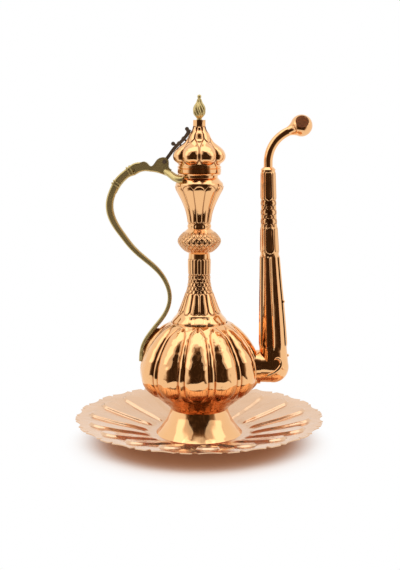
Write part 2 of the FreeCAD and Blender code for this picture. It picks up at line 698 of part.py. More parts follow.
def make_handle_bar():
    """The S-shaped bar: out from the head, round the bow, in to the waist and down on the belly."""
    shape = [(0.6, 1), (0.76, 0.977), (0.848, 0.943), (0.908, 0.908), (0.951, 0.864), (0.98, 0.812),
             (0.95, 0.729), (0.81, 0.628), (0.615, 0.533), (0.459, 0.469), (0.357, 0.396),
             (0.326, 0.328), (0.357, 0.264), (0.431, 0.209)]
    taper = [1, 0.97, 0.95, 0.97, 1, 1, 0.85, 0.56, 0.4, 0.28, 0.15, 0.1, 0.1, 0.1]
    head_z = pin.z - HANDLE_HEAD_DROP
    span = head_z - HANDLE_TAIL_HEIGHT
    points = [Vector(-x * HANDLE_BOW, 0, HANDLE_TAIL_HEIGHT + level * span) for x, level in shape]
    for level, lift in [(0.149, 1), (0.093, 0.77), (0.04, 0.31), (0, 0)]:
        z = HANDLE_TAIL_HEIGHT + level * span
        seat = strip_radius(z) + SEAT_CLEARANCE + HANDLE_TAIL_THICKNESS / 2
        points.append(Vector(-seat - lift * HANDLE_TAIL_LIFT, 0, z))
        taper.append(0)
    widths = [HANDLE_TAIL_WIDTH + t * (HANDLE_GRIP_WIDTH - HANDLE_TAIL_WIDTH) for t in taper]
    thicknesses = [HANDLE_TAIL_THICKNESS + t * (HANDLE_GRIP_THICKNESS - HANDLE_TAIL_THICKNESS)
                   for t in taper]
    rings = [ring for index in (1, 3) for ring in bar_rings(points[index], normals(points)[index])]
    return bar(points, widths, thicknesses).fuse(rings)


def make_handle_head():
    """The cast head: a bump, a notch and the hump that holds the hinge between two cheeks."""
    upper = [(-35.1, -5.4), (-29.6, -1.9), (-25.2, 0), (-20.1, -2), (-16.2, -5.4), (-12.1, -2.2),
             (-8.1, 3), (-3.9, 4.8), (1.4, 4.4), (4.6, 0.8), (4.8, -4.8), (8.5, -9.6)]
    lower = [(-35.1, -15), (-30, -10.6), (-24, -9.6), (-16.2, -10.3), (-9, -11), (-2.7, -13.1),
             (3.6, -17)]
    head = across_solid(outline_face([pin + Vector(x, 0, z) for x, z in upper],
                                     [pin + Vector(x, 0, z) for x, z in lower]), 2 * head_half_width)
    slot_width = STRAP_WIDTH + 2 * SLOT_CLEARANCE
    floor = pin.z - KNUCKLE_RADIUS - 2 * SLOT_CLEARANCE
    slot = Part.makeBox(2 * SLOT_BACK, slot_width, 2 * SLOT_BACK,
                        Vector(pin.x - SLOT_BACK, -slot_width / 2, floor))
    return head.cut([slot, cross_cylinder(PIN_RADIUS, 2 * head_half_width, pin)])


def make_prong(side):
    """One prong of the yoke: from under the hump forwards and round the collar's groove."""
    root = pin + Vector(0, side * PRONG_ROOT_SPREAD, -PRONG_ROOT_DROP)
    tip_z = collar_z + 0.75 * COLLAR_HEIGHT
    tip = Vector(-COLLAR_GROOVE_RADIUS + PRONG_GRASP, side * PRONG_SPREAD, tip_z)
    middle = Vector(tip.x - 2 * PRONG_RADIUS, side * 0.86 * PRONG_SPREAD, tip_z + 0.2 * PRONG_RADIUS)
    elbow = Vector(0.5 * (root.x + middle.x), side * 0.5 * PRONG_SPREAD, 0.5 * (root.z + middle.z))
    points = [root, elbow, middle, tip]
    sections = []
    for index, point in enumerate(points):
        ahead = points[min(index + 1, 3)] - points[max(index - 1, 0)]
        sections.append(Part.Wire(Part.Circle(point, ahead, PRONG_RADIUS).toShape()))
    return Part.makeLoft(sections, True, False)


def make_handle(belly_form, collar):
    head = make_handle_head()
    handle = make_handle_bar().fuse([head, make_prong(-1), make_prong(1)])
    return handle.cut([belly_form, collar])


def make_hinge_pin():
    shank = cross_cylinder(PIN_RADIUS, head_half_width, pin)
    heads = [Part.makeCylinder(PIN_HEAD_RADIUS, PIN_HEAD_HEIGHT, pin + ACROSS * (side * head_half_width),
                               ACROSS * side) for side in (-1, 1)]
    return shank.fuse(heads)


def export(name, shape):
    shape.exportStep(os.path.join("parts", name + ".step"))


def main():
    os.makedirs("parts", exist_ok=True)
    belly_form = make_belly_form()
    heel_outer = heel_form(0)
    spout_outer = spout_form(0)
    passage = make_passage()
    parts = {
        "tray": make_tray(),
        "foot": make_foot(),
        "belly": belly_form.cut([make_belly_hollow(), passage[0]]),
        "lower_neck": make_lower_neck(),
        "neck_knop": make_neck_knop(),
        "upper_neck": make_upper_neck(),
        "mouth_collar": make_mouth_collar(),
        "spout_collar": make_spout_collar(belly_form, heel_outer, spout_outer),
        "spout_stub": make_spout_stub(belly_form, heel_outer).cut(passage[:2]),
        "spout_heel": heel_outer.cut(passage[:2]),
        "spout_body": spout_outer.cut(passage[2]),
        "spout_shoulder": make_spout_shoulder(),
        "spout_gooseneck": make_gooseneck(),
        "spout_mouth": make_spout_mouth(),
        "spout_beads": make_spout_beads(heel_outer, spout_outer),
        "lid_band": make_lid_band(),
        "lid_plug": make_lid_plug(),
        "lid_ferrule": make_ferrule(),
        "finial": make_finial(),
        "finial_nut": make_finial_nut(),
    }
    dome_form = make_dome_form()
    parts["lid_dome"] = dome_form.cut([make_dome_hollow(),
                                       upright_cylinder(STUD_RADIUS, dome_z, ferrule_z)])
    shanks, heads = make_rivets()
    parts["lid_dome"] = parts["lid_dome"].cut(shanks)
    parts["hinge_strap"] = make_strap(dome_form, shanks)
    parts["strap_rivets"] = Part.makeCompound([shank.fuse(head.cut(parts["hinge_strap"]))
                                               for shank, head in zip(shanks, heads)])
    parts["handle"] = make_handle(belly_form, parts["mouth_collar"])
    parts["hinge_pin"] = make_hinge_pin()
    for name, shape in parts.items():
        export(name, shape)
        print(name, shape.isValid(), len(shape.Solids), round(shape.Volume, 1))


main()
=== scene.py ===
"""Copper ewer on its tray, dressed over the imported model: chased copper, antique brass, dark bronze.

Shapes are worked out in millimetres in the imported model's frame (pot axis on Z, spout towards +X, the
photo's viewer towards -Y), and become metres as each mesh is made. Bearings are degrees from +X.
"""
import bpy
import json
import math
import numpy as np
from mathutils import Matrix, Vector
from mathutils.bvhtree import BVHTree


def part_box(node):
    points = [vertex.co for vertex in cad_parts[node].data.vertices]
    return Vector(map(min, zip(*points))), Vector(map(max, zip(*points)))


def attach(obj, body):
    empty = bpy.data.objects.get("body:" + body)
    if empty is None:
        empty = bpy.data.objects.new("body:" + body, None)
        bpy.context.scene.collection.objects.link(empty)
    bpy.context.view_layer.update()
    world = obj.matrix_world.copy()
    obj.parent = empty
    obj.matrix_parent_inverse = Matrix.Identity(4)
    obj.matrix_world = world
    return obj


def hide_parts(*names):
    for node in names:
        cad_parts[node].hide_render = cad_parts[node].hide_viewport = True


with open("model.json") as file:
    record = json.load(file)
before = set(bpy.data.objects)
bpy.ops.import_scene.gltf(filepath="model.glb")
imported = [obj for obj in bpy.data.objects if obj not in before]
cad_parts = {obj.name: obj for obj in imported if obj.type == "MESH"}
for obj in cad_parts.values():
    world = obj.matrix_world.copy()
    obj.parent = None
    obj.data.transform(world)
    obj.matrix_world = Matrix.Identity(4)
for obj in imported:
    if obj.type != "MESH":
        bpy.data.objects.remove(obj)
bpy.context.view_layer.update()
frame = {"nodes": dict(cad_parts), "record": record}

# Shared by all: metres in a millimetre, bearing of the front, the pot's wall, angle of a sharp edge, where
# rays start, how far inside a node's ends its outline is read, and the least width to divide by
MM = 0.001
FRONT = -90.0
WALL = 1.6
SHARP_ANGLE = 48.0
RAY_START = 300.0
PROFILE_MARGIN = 0.05
TINY = 0.01

# Camera, as the photo shows the set: millimetres, degrees and pixels of the 400 x 570 image
IMAGE_HEIGHT = 570
CAMERA_DISTANCE = 1219.85
CAMERA_HEIGHT = 362.0
CAMERA_SIDE = 0.8
CAMERA_TILT = 4.7
FOCAL_PIXELS = 1033.3
SHIFT_PIXELS = 69.3
SENSOR = 36.0

# Floor, in metres: how far out from a point in front it turns from the painted shadow's colour to pale, and
# to white; it also glows with painted bounce light
FLOOR_HALF = 6.0
FLOOR_DROP = 0.0004
SHADE_CENTRE = (0, -0.034, 0)
FLOOR_PAINTED_SHADOW_FADE = (0.08, 0.14)
FLOOR_WHITE = (0.1, 0.162)
# Painted shadow: the floor's darker, warmer colour near the tray
FLOOR_PAINTED_SHADOW = (0.54, 0.35, 0.24)
FLOOR_PALE = (0.86, 0.84, 0.82)
# Painted bounce light: a warm glow of the floor, as if light came off the copper
FLOOR_PAINTED_BOUNCE = (0.11, 0.05, 0.024)
FLOOR_ROUGHNESS = 0.9

# Dark room that reflections see, in metres and degrees; the side fade is in X over Y
ROOM_SPREAD = 66.0
ROOM_SIDE_FADE = (0.6, 2.2)
ROOM_TOP_FADE = (2.4, 5.8)
ROOM_NEAR = 0.38
ROOM_FAR = 2.4
ROOM_LOW = 0.004
ROOM_HEIGHT = 6.0
ROOM_STEPS = 25
ROOM_CLUTTER_SCALE = 2.5
ROOM_CLUTTER = 0.5
ROOM_DARK = (0.036, 0.02, 0.011)
ROOM_BROWN = (0.24, 0.155, 0.1)
ROOM_BROWN_PLACE = 0.45
WHITE = (1.0, 1.0, 1.0)

# Light: strength of the world, and each lamp's name, place, target, size in metres and watts
WORLD_LIGHT = 0.75
LAMPS = [("lamp_top", (0, -0.1, 2.2), (0, 0, 0), (2.4, 1.6), 8.5),
         ("lamp_left", (-1.6, -0.8, 1.6), (0, 0, 0.18), (2.0, 1.8), 7),
         ("lamp_right", (1.6, -0.8, 1.6), (0, 0, 0.18), (2.0, 1.8), 7)]

# Metals: colour, colour of the dirt in lines and of painted reflection, roughness, size and depth of the
# dents in metres, metallic share
COPPER = (0.94, 0.53, 0.245)
METALS = {"copper_polished": (COPPER, (0.24, 0.085, 0.03), 0.08, 0.011, 0.0009, 1.0),
          # The hammered copper's second colour is also the painted reflection of the tray low on the belly
          "copper_hammered": (COPPER, (0.42, 0.12, 0.02), 0.08, 0.0075, 0.0012, 1.0),
          "copper_mouth": (COPPER, (0.68, 0.37, 0.19), 0.1, 0.007, 0.0006, 1.0),
          "copper_tray": ((0.82, 0.53, 0.33), (0.3, 0.13, 0.06), 0.14, 0.012, 0.0006, 0.82),
          "brass_antique": ((0.62, 0.48, 0.2), (0.09, 0.065, 0.025), 0.27, 0.006, 0.0004, 0.8),
          "bronze_dark": ((0.27, 0.2, 0.14), (0.04, 0.03, 0.02), 0.33, 0.003, 0.0005, 0.8)}

# Noise in the metals: the stretch that is used, scale and detail, and what it does to tone and roughness
NOISE_RANGE = (0.3, 0.7)
TONE_NOISE = (22, 3)
TONE_SHARE = 0.35
TONE_DARKER = 0.82
SMUDGE_NOISE = (60, 4)
SMUDGE_ROUGHNESS = (0.8, 1.5)
DENT_STRENGTH = 0.7

# Inside of the pouring ball, in metres
BALL_CENTRE = (0.1201, 0, 0.3681)
BALL_INSIDE = 0.0119

# Chased panels: softness of their edge, how much the sides droop, depth of the line round them
PANEL_EDGE = 0.8
PANEL_DROOP = 0.6
PANEL_CUT = 0.35

# Framed panels: gap, crown and sink; rise and width of the rim; start and softness of the sunk floor;
# tone, place and width of the line inside the rim
FRAME_GAP = 0.9
FRAME_CROWN = 0.6
FRAME_SINK = 0.5
FRAME_RIM = (0.55, 0.6)
FRAME_FLOOR = (0.4, 1.2)
FRAME_LINE = (0.4, 1.2, 0.5)

# Scales: reach, softness and droop as shares of a row, rise, and depth and width of the line round each
SCALE_REACH = 0.95
SCALE_SOFT = 0.9
SCALE_DROOP = 0.4
SCALE_RISE = 0.45
SCALE_CUT = 0.3
SCALE_LINE = 0.14

# Belly: its lobes, the lines beside them, the ribs between them, the hoops under them, and a painted
# reflection of the tray, darker and more orange, low down
BELLY_GRID = (150, 720)
BELLY_LOBES = 12
BELLY_TURN = -92.7
BELLY_STRIP = BELLY_TURN + 180 / BELLY_LOBES
LOBE_SAMPLES = 26
LOBE_SHARE = 0.78
LOBE_FOOT = 50.0
LOBE_FOOT_ROUND = 16.0
LOBE_TOP = 133.0
LOBE_TOP_ROUND = 14.0
LOBE_END_POWER = 2.4
LOBE_CROWN_POWER = 2.6
LOBE_FADE = 4.0
LOBE_LINE = (0.3, 0.9)
LOBE_CUT = 0.7
LOBE_TONE = 0.8
RIB_BAND = (46.0, 131.0)
RIB_FADE = 12.0
RIB_WIDTH = 1.9
RIB_RISE = 1.1
HOOPS = (39.5, 42.5, 45.5)
HOOP_WIDTH = 0.9
HOOP_RISE = 0.7
# Painted reflection of the tray: darker and more orange below this level, fading over this height, at this
# strength
PAINTED_REFLECTION_TOP = 70.0
PAINTED_REFLECTION_FADE = 12.0
PAINTED_REFLECTION_TONE = 0.75

# The lobe under the handle's tail is flatter at its lower levels
TAIL_LOBE = 9
TAIL_END = 92.0
TAIL_FLAT = (TAIL_END, 114.0)
TAIL_SWELL = 0.35

# Neck, knop and trumpet: levels of the bands, repeats round them; styles are shift, gap, swell and line
NECK_GRID = (170, 336)
NECK_SAMPLES = 18
PETALS = 14
PETAL_BAND = (146.5, 170.5)
PETAL_STYLE = (0.5, 0.5, 0.7, 0.45)
SCALES = 16
SCALE_BAND = (PETAL_BAND[1], 192.0)
SCALE_ROWS = 5
REED_BAND = (SCALE_BAND[1], 210.5)
REED_STYLE = (0.0, 0.3, 0.45, 0.3)
SKIRT_FACETS = 10
SKIRT_TOP = 145.0
SKIRT_FADE = 4.0
SKIRT_SINK = 1.3
SKIRT_RING = (0.3, 0.8)
FLARE_TOP = 147.0
FLARE_RUN = 9.0
FLARE_FOOT = 2.5
FLARE = 1.8
KNOP_GRID = (90, 448)
KNOP_SAMPLES = 16
HATCH_COUNT = 28
HATCH_BAND = (218.5, 243.5)
HATCH_FADE = 1.5
HATCH_PITCH = 5.2
HATCH_LINE = 0.13
HATCH_RISE = 0.55
HATCH_SINK = 0.1
HATCH_SHADE = (0.22, 0.09, 0.55)
TRUMPET_GRID = (110, 360)
TRUMPET_SAMPLES = 14
PANELS = 12
PANEL_BAND = (253.5, 297.5)
PANEL_STYLE = (0.0, 0.55, 0.5, 0.4)
BUMP_LEVEL = 3.0
BUMP_WIDTH = 1.6
BUMP_RISE = 0.6
BUMP_WAVE = 0.35

# Collar: margin of its outline, and the throat inside it
COLLAR_GRID = (80, 360)
COLLAR_MARGIN = 0.02
THROAT_RADIUS = 19.4
THROAT_FOOT = 0.7

# Lid's dome
DOME_GRID = (130, 400)
DOME_LOBES = 8
DOME_LOBE_SHARE = 0.93
DOME_LOBE_BAND = (322.0, 353.0)
DOME_FOOT_ROUND = 8.0
DOME_TOP_ROUND = 11.0
DOME_TOP_POWER = 1.5
DOME_CROWN_POWER = 2.4
DOME_FADE = 0.25
DOME_LINE = (0.2, 0.6)
DOME_CUT = 0.5
DOME_PANEL_BAND = (349.0, 366.5)
DOME_PANEL_STYLE = (0.0, 0.35, 0.5, 0.4)

# Spout: levels of its bands, repeats round it, and an X that lies inside it at every level
SPOUT_GRID = (300, 240)
SPOUT_SAMPLES = 12
SPOUT_INSIDE = 85.0
SPOUT_PANELS = 6
SPOUT_LOW_PANELS = (218.0, 248.5)
SPOUT_SCALES = (SPOUT_LOW_PANELS[1], 281.0)
SPOUT_SCALE_ROWS = 6
SPOUT_TOP_PANELS = (SPOUT_SCALES[1], 313.5)
SPOUT_FLUTE_COUNT = 12
SPOUT_FLUTES = (102.0, 216.0)
SPOUT_FLUTE_FADES = (8.0, 5.0)
SPOUT_FLUTE_DEPTH = 0.9
SPOUT_RIB = (0.75, 0.7)

# Ribs and beads along a line: least share of their size at the ends, degrees per step round them
END_LEAST = 0.02
TUBE_STEP = 20

# Leaf on the spout's heel: X and level along its ribs
HEEL_SCROLLS = [[(74.5, 71.0), (80.5, 73.2), (86.5, 75.8), (92.5, 80.2), (96.4, 85.6), (95.8, 91.0),
                 (92.0, 94.0), (88.5, 92.4)],
                [(95.5, 84.0), (99.5, 81.5), (104.0, 80.5)]]
SCROLL_STEPS = 48
SCROLL_TAPER = 7.0
SCROLL_RISE = 2.0
SCROLL_HALF_WIDTH = 2.3

# Solder under the handle's tail: its levels, half width and depth behind the tail's outer side
TAIL_SOLDER = (TAIL_END, 127.0)
TAIL_SOLDER_STEPS = 20
TAIL_SOLDER_HALF = 1.5
TAIL_DEPTH = 2.0

# Handle's bead (X and level along it) and its ring pairs (X, level, lean of the bar's outward side)
BEAD_PATH = [(-98.8, 287.4), (-94.6, 296.7), (-88.7, 304.0), (-81.5, 309.9), (-76.0, 312.5),
             (-70.5, 314.5), (-64.9, 315.8), (-57.1, 315.2), (-49.9, 314.2), (-43.6, 312.0), (-38.5, 309.0)]
BEAD_STEPS = 70
BEAD_TAPER = 9.0
BEAD_WIDENS = (-77.0, -71.0)
BEAD_HALF_WIDTHS = (4.6, 6.7)
BEAD_DEEPENS = (-84.0, -77.0, -70.0)
BEAD_HALF_DEPTHS = (1.5, 2.7, 1.5)
RING_PAIRS = [(-82.2, 315.4, 120.0), (-98.1, 299.4, 145.0)]
RING_STEP = 6
RING_TUBE_STEP = 36
RING_SQUARENESS = 5
RING_HALF_WIDTH = 5.5
RING_HALF_DEPTH = 4.9
RING_TUBE = 0.75
RING_SPACING = 3.6

# Tray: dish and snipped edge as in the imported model, flutes with flatter tops and steeper walls than there;
# dish levels are shares of the rim's, and the swell is the share of the rise at shares of a flute's length
TRAY_COLUMNS = 1080
TRAY_WELL_ROWS = 14
TRAY_RIM_ROWS = 90
TRAY_CENTRE = 8.0
TRAY_WELL = 60.0
TRAY_SHEET = 1.2
DISH_LEVELS = (0, 0.44, 0.92, 1)
TRAY_FLUTES = 18
FLUTE_TURN = -85.5
FLUTE_END = 134.0
FLUTE_SHARE = 0.66
FLUTE_RISE = 2.9
FLUTE_WALL = 3.4
FLUTE_SWELL = [(0, 0), (0.06, 0.55), (0.2, 0.88), (0.5, 1), (0.8, 1), (1, 0.95)]
EDGE_CORNERS = (0, 0.13, 0.18, 0.26)
TOOTH_DEPTH = 6.0
SCALLOP_DEPTH = 4.0


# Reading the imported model

def span(node):
    """Lowest and highest level of a CAD node."""
    low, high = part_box(node)
    return low[2] / MM, high[2] / MM


def cad_tree(node):
    mesh = frame["nodes"][node].data
    return BVHTree.FromPolygons([v.co for v in mesh.vertices], [p.vertices for p in mesh.polygons])


def outer_hits(node, bearing, heights, start):
    """Where level rays from outside, towards the line X = start, first meet a CAD node."""
    tree = cad_tree(node)
    angle = math.radians(bearing)
    outward = Vector((math.cos(angle), math.sin(angle), 0))
    hits = []
    for z in heights:
        origin = (Vector((start, 0, z)) + outward * RAY_START) * MM
        hits.append(tree.ray_cast(origin, -outward)[0] / MM)
    return np.array(hits)


def outer_radius(node, bearing, heights):
    """The CAD node's outer radius about the pot's axis at each height."""
    hits = outer_hits(node, bearing, heights, 0)
    return np.hypot(hits[:, 0], hits[:, 1])


def curve_through(x, y):
    """A smooth function through the samples."""
    slope = np.gradient(y, x)

    def at(q):
        i = np.clip(np.searchsorted(x, q) - 1, 0, len(x) - 2)
        run = x[i + 1] - x[i]
        t = np.clip((q - x[i]) / run, 0, 1)
        height = (1 + 2 * t) * (1 - t) ** 2 * y[i] + t * t * (3 - 2 * t) * y[i + 1]
        return height + t * (1 - t) ** 2 * run * slope[i] + t * t * (t - 1) * run * slope[i + 1]
    return at


def knots_up(node, samples):
    """Levels up a CAD node, just inside its ends."""
    low, high = span(node)
    return np.linspace(low + PROFILE_MARGIN, high - PROFILE_MARGIN, samples)


def radius_curve(node, bearing, samples):
    """The CAD node's outer radius about the pot's axis as a smooth function of height."""
    knots = knots_up(node, samples)
    return curve_through(knots, outer_radius(node, bearing, knots))


def front_reach(nodes, x, z):
    """Y of the foremost of the CAD nodes at each X and level."""
    trees = [cad_tree(node) for node in nodes]
    reach = []
    for place_x, place_z in zip(x, z):
        origin = Vector((place_x, -RAY_START, place_z)) * MM
        hits = [tree.ray_cast(origin, Vector((0, 1, 0)))[0] for tree in trees]
        reach.append(min(hit.y for hit in hits if hit is not None) / MM)
    return np.array(reach)


# Meshes

def ring_mesh(name, rings, line_dirt_and_painted_reflection, closed):
    """A smooth mesh from rings of points: closed joins the last ring to the first, else ends get caps."""
    count, around = rings.shape[:2]
    index = np.arange(count * around).reshape(count, around)
    lower = index if closed else index[:-1]
    upper = np.roll(index, -1, axis=0) if closed else index[1:]
    quads = np.stack([lower, np.roll(lower, -1, axis=1), np.roll(upper, -1, axis=1), upper], axis=-1)
    faces = quads.reshape(-1, 4).tolist()
    if not closed:
        faces += [index[0][::-1].tolist(), index[-1].tolist()]
    mesh = bpy.data.meshes.new(name)
    mesh.from_pydata((rings.reshape(-1, 3) * MM).tolist(), [], faces)
    mesh.polygons.foreach_set("use_smooth", [True] * len(mesh.polygons))
    mesh.set_sharp_from_angle(angle=math.radians(SHARP_ANGLE))
    layer = mesh.attributes.new("line_dirt_and_painted_reflection", "FLOAT", "POINT")
    layer.data.foreach_set("value", np.clip(line_dirt_and_painted_reflection, 0, 1).reshape(-1).astype(np.float32))
    return mesh


def add_piece(name, mesh, material, body, slot, *nodes):
    """A piece of the object that rides on a body, and stands for CAD nodes where any are named."""
    piece = bpy.data.objects.new(name, mesh)
    bpy.context.scene.collection.objects.link(piece)
    mesh.materials.append(material)
    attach(piece, body)
    if nodes:
        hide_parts(*nodes)


def add_shell(name, rings, line_dirt_and_painted_reflection, material, body, node):
    """A copper shell for a CAD node; the mask of line dirt and painted reflection covers its outer rings
    only.
    """
    mesh = ring_mesh(name, rings, np.concatenate([line_dirt_and_painted_reflection, np.zeros_like(line_dirt_and_painted_reflection)]), True)
    add_piece(name, mesh, material, body, "copper", node)


def add_trim(name, rings, closed, material, slot):
    """A small piece on the pot that no CAD node has."""
    add_piece(name, ring_mesh(name, rings, np.zeros(rings.shape[:2]), closed), material, "pot", slot)


def circle(columns):
    """Evenly spaced bearings, the first towards the front."""
    return FRONT + np.arange(columns) * 360 / columns


def grid_on(node, shape, margin=0.0):
    """Levels up a CAD node and bearings round it, as two lists and as two grids."""
    low, high = span(node)
    heights = np.linspace(low + margin, high - margin, shape[0])
    turns = circle(shape[1])
    turn, z = np.meshgrid(turns, heights)
    return heights, turns, turn, z


def rings_about(centre_x, radius, heights, turns):
    """Rings of points at the heights, round a line that may lean in X."""
    angle = np.radians(turns)[None, :]
    x = np.asarray(centre_x).reshape(-1, 1) + radius * np.cos(angle)
    y = radius * np.sin(angle)
    z = np.broadcast_to(np.asarray(heights).reshape(-1, 1), y.shape)
    return np.stack([x, y, z], axis=-1)


def shell_rings(centre_x, plain, relief, heights, turns):
    """Outer rings with relief, then plain inner rings back down."""
    outer = rings_about(centre_x, plain[:, None] + relief, heights, turns)
    inner_radius = np.broadcast_to((plain - WALL)[:, None], relief.shape)
    inner = rings_about(centre_x, inner_radius, heights, turns)
    return np.concatenate([outer, inner[::-1]])


def smooth_path(path, count, taper):
    """X, level and lean of points on a smooth line, and a share that rounds its two ends off."""
    path = np.array(path)
    run = np.concatenate([[0], np.cumsum(np.hypot(*np.diff(path, axis=0).T))])
    steps = np.linspace(0, run[-1], count)
    x = curve_through(run, path[:, 0])(steps)
    z = curve_through(run, path[:, 1])(steps)
    ends = np.sqrt(np.clip(np.minimum(steps, run[-1] - steps) / taper, END_LEAST, 1))
    return x, z, np.arctan2(np.gradient(z), np.gradient(x)), ends


def path_rings(x, y, z, lean, wide, deep):
    """Oval rings square to a line in an upright plane: half widths along Y, half depths across it."""
    turn = np.radians(np.arange(0, 360, TUBE_STEP))
    across = deep[:, None] * np.sin(turn)
    return np.stack([x[:, None] - np.sin(lean)[:, None] * across,
                     y[:, None] + wide[:, None] * np.cos(turn),
                     z[:, None] + np.cos(lean)[:, None] * across], axis=-1)


# Chased patterns, on grids of bearing and height

def cell(turn, count, shift=0.0):
    """Place within the nearest of the equal cells round the axis, -0.5 to 0.5; one faces the front."""
    return ((turn - FRONT) / 360 * count + shift + 0.5) % 1 - 0.5


def ridge(distance, width):
    """A rounded ridge of height 1 where the distance is 0."""
    return np.exp(-(distance / width) ** 2)


def rise(distance, width):
    """A soft step from 0 to 1 as the distance goes from 0 to the width."""
    t = np.clip(distance / width, 0, 1)
    return t * t * (3 - 2 * t)


def lobe_end(distance, length):
    """How wide a lobe still is, from 1 to 0, at a distance into a round end of that length."""
    return np.sqrt(np.clip(1 - np.clip(distance / length, 0, 1) ** LOBE_END_POWER, 0, 1))


def crowned(share, power):
    """The height across a lobe, from 1 at its middle to 0 at its sides."""
    return np.where(share < 1, 1 - share ** power, 0)


def tongue(across, along, half_width, low, high):
    """Signed distance to an upright panel with round ends, negative inside."""
    middle = np.clip(along, low + half_width, high - half_width)
    return np.hypot(across, along - middle) - half_width


def panel_band(turn, z, radius, count, band, style):
    """Round-ended panels side by side: their swell and the chased lines round them."""
    shift, gap, swell, line = style
    pitch = 2 * np.pi * radius / count
    across = cell(turn, count, shift) * pitch
    half_width = pitch / 2 - gap
    d = tongue(across, z, half_width, *band)
    body = swell * rise(-d, PANEL_EDGE) * (1 - PANEL_DROOP * np.clip(across / half_width, -1, 1) ** 2)
    cut = ridge(d - line, line)
    return body - PANEL_CUT * cut, cut


def framed_band(turn, z, radius, count, band):
    """Sunk, crowned panels with round ends, each inside a raised rim."""
    pitch = 2 * np.pi * radius / count
    half_width = pitch / 2 - FRAME_GAP
    across = cell(turn, count) * pitch
    d = tongue(across, z, half_width, *band)
    rim, rim_width = FRAME_RIM
    start, soft = FRAME_FLOOR
    tone, place, line_width = FRAME_LINE
    crown = FRAME_CROWN * (1 - np.clip(across / half_width, -1, 1) ** 2)
    relief = rim * ridge(d, rim_width) + (crown - FRAME_SINK) * rise(-d - start, soft)
    return relief, tone * ridge(d + place, line_width)


def scale_band(turn, z, count, band, rows):
    """Overlapping round scales in staggered rows."""
    row_height = (band[1] - band[0]) / rows
    level = (z - band[0]) / row_height
    row = np.floor(level)
    inside = (level >= 0) & (level <= rows)
    across = cell(turn, count, 0.5 * (row % 2)) * 2
    drop = level - row
    d = np.hypot(across, drop) - SCALE_REACH
    height = SCALE_RISE * rise(-d, SCALE_SOFT) * (1 - SCALE_DROOP * drop)
    cut = ridge(d, SCALE_LINE) * inside
    return height * inside - SCALE_CUT * cut, cut


# Pot

def belly_relief(turn, z, strip, crest):
    """Round-ended lobes with chased lines beside them, ribs between them and hoops under them; also a mask of
    dirt in the lines and of a painted reflection of the tray low down.
    """
    pitch = 360 / BELLY_LOBES
    half = (LOBE_SHARE * pitch / 2 * lobe_end(z - LOBE_TOP + LOBE_TOP_ROUND, LOBE_TOP_ROUND)
            * lobe_end(LOBE_FOOT + LOBE_FOOT_ROUND - z, LOBE_FOOT_ROUND))
    number = (turn - BELLY_TURN) / pitch
    tail_seat = TAIL_SWELL + (1 - TAIL_SWELL) * rise(z - TAIL_FLAT[0], TAIL_FLAT[1] - TAIL_FLAT[0])
    swelled = np.where(np.round(number) % BELLY_LOBES == TAIL_LOBE, tail_seat, 1.0)
    away = np.abs((number + 0.5) % 1 - 0.5) * pitch
    share = away / np.maximum(half, TINY)
    lobe = crowned(share, LOBE_CROWN_POWER) * np.maximum(crest - strip, 0) * swelled
    mm = np.pi / 180 * strip
    line_place, line_width = LOBE_LINE
    cut = ridge((away - half) * mm - line_place, line_width) * rise(half, LOBE_FADE) * swelled
    rib = ridge((pitch / 2 - away) * mm, RIB_WIDTH)
    rib = rib * rise(z - RIB_BAND[0], RIB_FADE) * rise(RIB_BAND[1] - z, RIB_FADE)
    hoops = sum(ridge(z - level, HOOP_WIDTH) for level in HOOPS)
    # Painted reflection of the tray: the colour turns darker and more orange towards the bottom of the belly
    painted_reflection = PAINTED_REFLECTION_TONE * rise(PAINTED_REFLECTION_TOP - z, PAINTED_REFLECTION_FADE)
    relief = lobe + RIB_RISE * rib - LOBE_CUT * cut + HOOP_RISE * hoops
    return relief, np.maximum(LOBE_TONE * cut, painted_reflection)


def make_belly(material):
    heights, turns, turn, z = grid_on("belly", BELLY_GRID)
    strip = radius_curve("belly", BELLY_STRIP, LOBE_SAMPLES)(heights)
    crest = radius_curve("belly", BELLY_TURN, LOBE_SAMPLES)(heights)
    relief, line_dirt_and_painted_reflection = belly_relief(turn, z, strip[:, None], crest[:, None])
    rings = shell_rings(0, strip, relief, heights, turns)
    add_shell("belly_gadrooned", rings, line_dirt_and_painted_reflection, material, "pot", "belly")


def make_lower_neck(material):
    heights, turns, turn, z = grid_on("lower_neck", NECK_GRID)
    plain = radius_curve("lower_neck", FRONT, NECK_SAMPLES)(heights)
    radius = plain[:, None]
    petals, petal_cut = panel_band(turn, z, radius, PETALS, PETAL_BAND, PETAL_STYLE)
    reeds, reed_cut = panel_band(turn, z, radius, SCALES, REED_BAND, REED_STYLE)
    scales, scale_cut = scale_band(turn, z, SCALES, SCALE_BAND, SCALE_ROWS)
    ring_rise, ring_width = SKIRT_RING
    ring = ring_rise * ridge(z - SKIRT_TOP, ring_width)
    facet = np.abs(cell(turn, SKIRT_FACETS)) * 2
    skirt = SKIRT_SINK * facet ** 2 * rise(SKIRT_TOP - z, SKIRT_FADE)
    flare = FLARE * rise(FLARE_TOP - z, FLARE_RUN) * rise(z - heights[0], FLARE_FOOT)
    relief = petals + reeds + scales + ring + flare - skirt
    line_dirt_and_painted_reflection = np.maximum(np.maximum(petal_cut, reed_cut), scale_cut)
    rings = shell_rings(0, plain, relief, heights, turns)
    add_shell("lower_neck_chased", rings, line_dirt_and_painted_reflection, material, "pot", "lower_neck")


